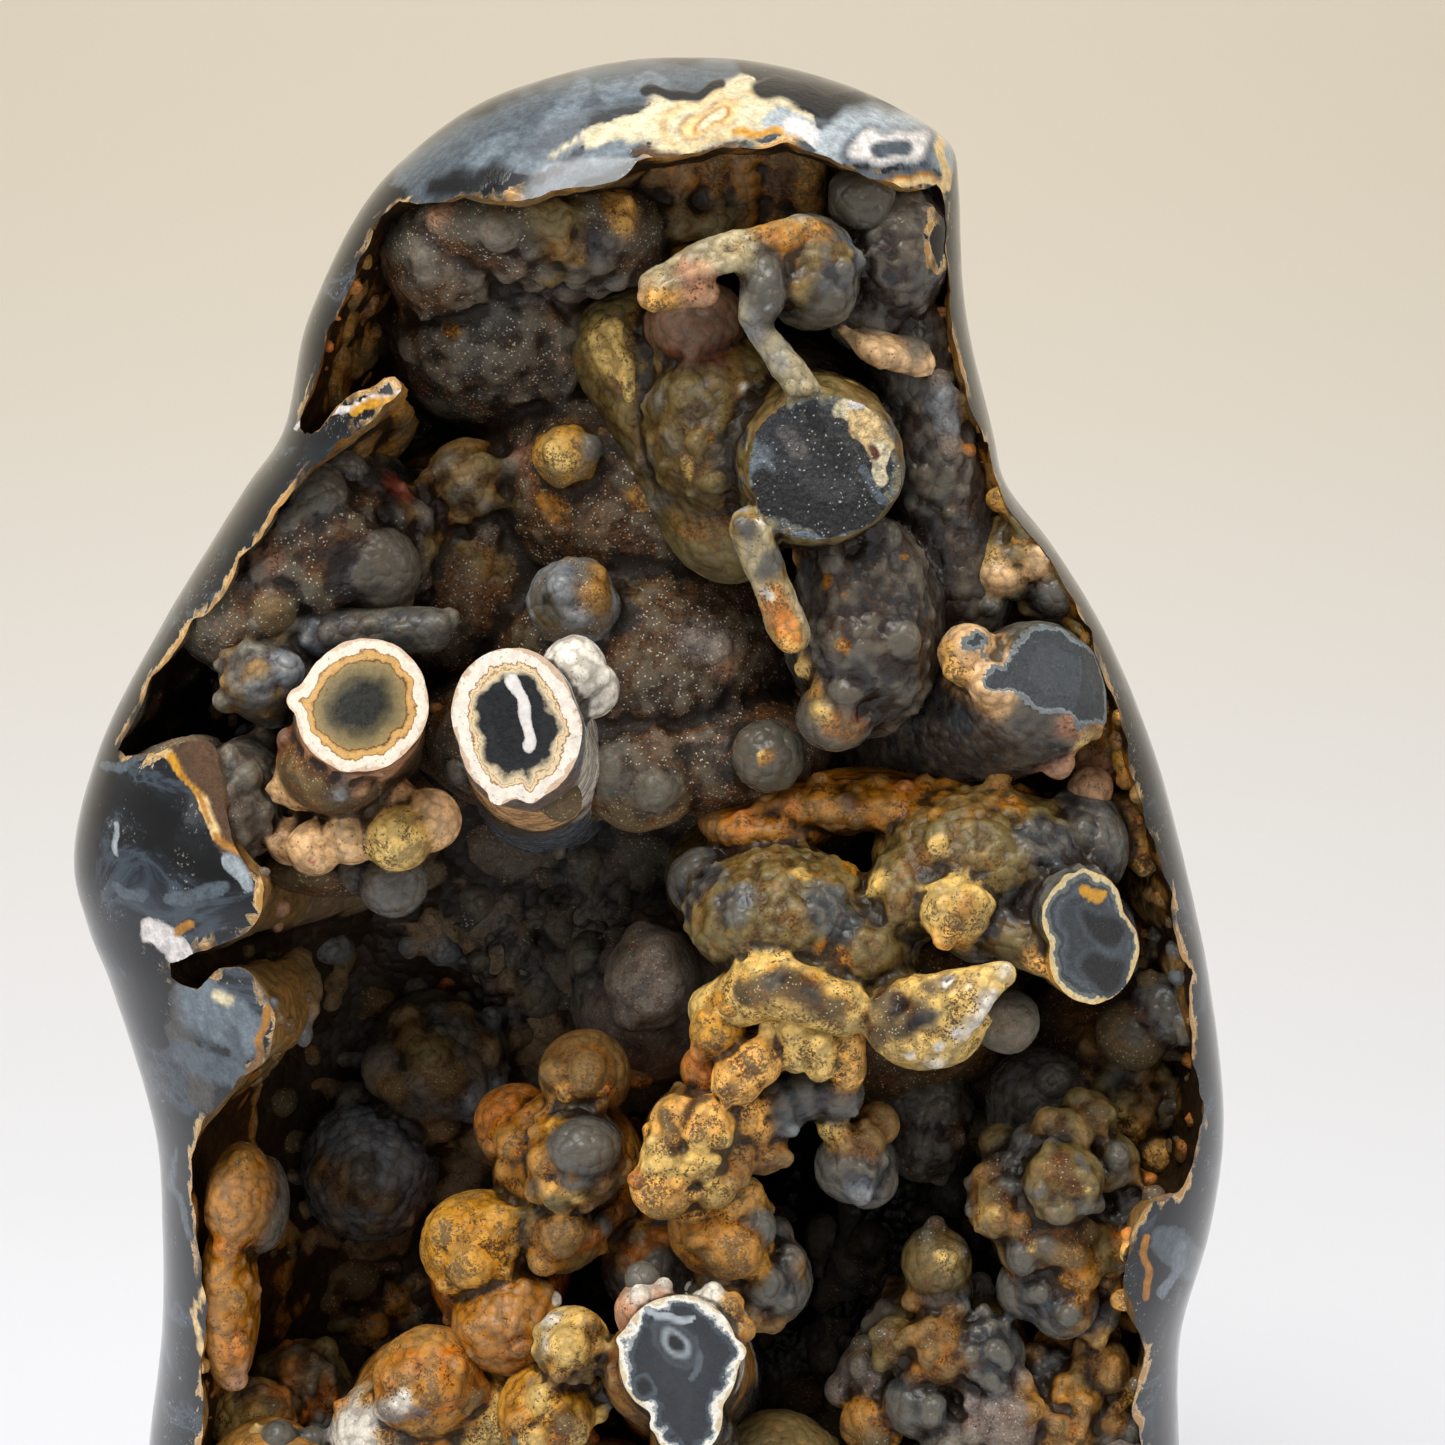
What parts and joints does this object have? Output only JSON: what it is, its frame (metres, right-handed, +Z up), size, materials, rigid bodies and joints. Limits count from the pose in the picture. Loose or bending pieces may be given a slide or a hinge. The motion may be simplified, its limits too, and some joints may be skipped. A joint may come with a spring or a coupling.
{
  "type": "agate specimen on stand",
  "caption": "Upright polished agate freeform with an open front cavity of botryoidal lumps and ground-off stalactites, standing in a pocket of an oval wooden plinth.",
  "frame": {"origin": "under the middle of the stand, on the surface that it stands on", "axes": "+Z up along the stone, -Y towards the viewer, out of the open cavity, +X to the viewer's right"},
  "size_m": [0.1831, 0.1198, 0.3165],
  "materials": {
    "agate": "polished skin, waxy matt lumps in the cavity",
    "wood": "dark stained, satin"
  },
  "bodies": {
    "root": {"agate": "agate", "stand": "wood"}
  },
  "joints": []
}
